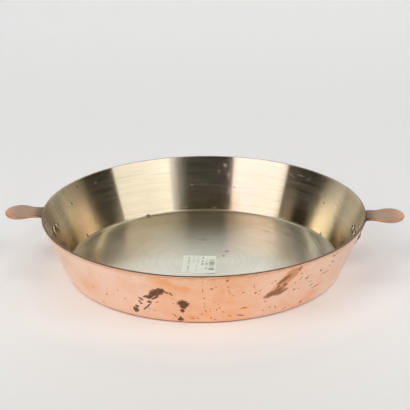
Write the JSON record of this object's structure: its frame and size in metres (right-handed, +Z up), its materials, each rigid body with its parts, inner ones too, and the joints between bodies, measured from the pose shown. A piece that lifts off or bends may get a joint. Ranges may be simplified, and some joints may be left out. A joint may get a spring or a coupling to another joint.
{
  "type": "tarte tatin pan",
  "caption": "Shallow round copper tart pan with a flaring wall, a steel lining, flat riveted ear handles and a paper label inside.",
  "frame": {"origin": "centre of the base, on the surface that the pan stands on", "axes": "+Z up, +X along the line through the two handles"},
  "size_m": [0.395, 0.3196, 0.057],
  "materials": {
    "copper": "polished, with brown stains",
    "lining_steel": "brushed in circles",
    "handle_copper": "worn satin",
    "rivet_steel": "worn",
    "label_paper": "coated paper"
  },
  "bodies": {
    "root": {"copper_shell": "copper", "steel_lining": "lining_steel", "handle_left": "handle_copper", "handle_right": "handle_copper", "rivet_left_front": "rivet_steel", "rivet_left_rear": "rivet_steel", "rivet_right_front": "rivet_steel", "rivet_right_rear": "rivet_steel", "paper_label": "label_paper"}
  },
  "joints": []
}
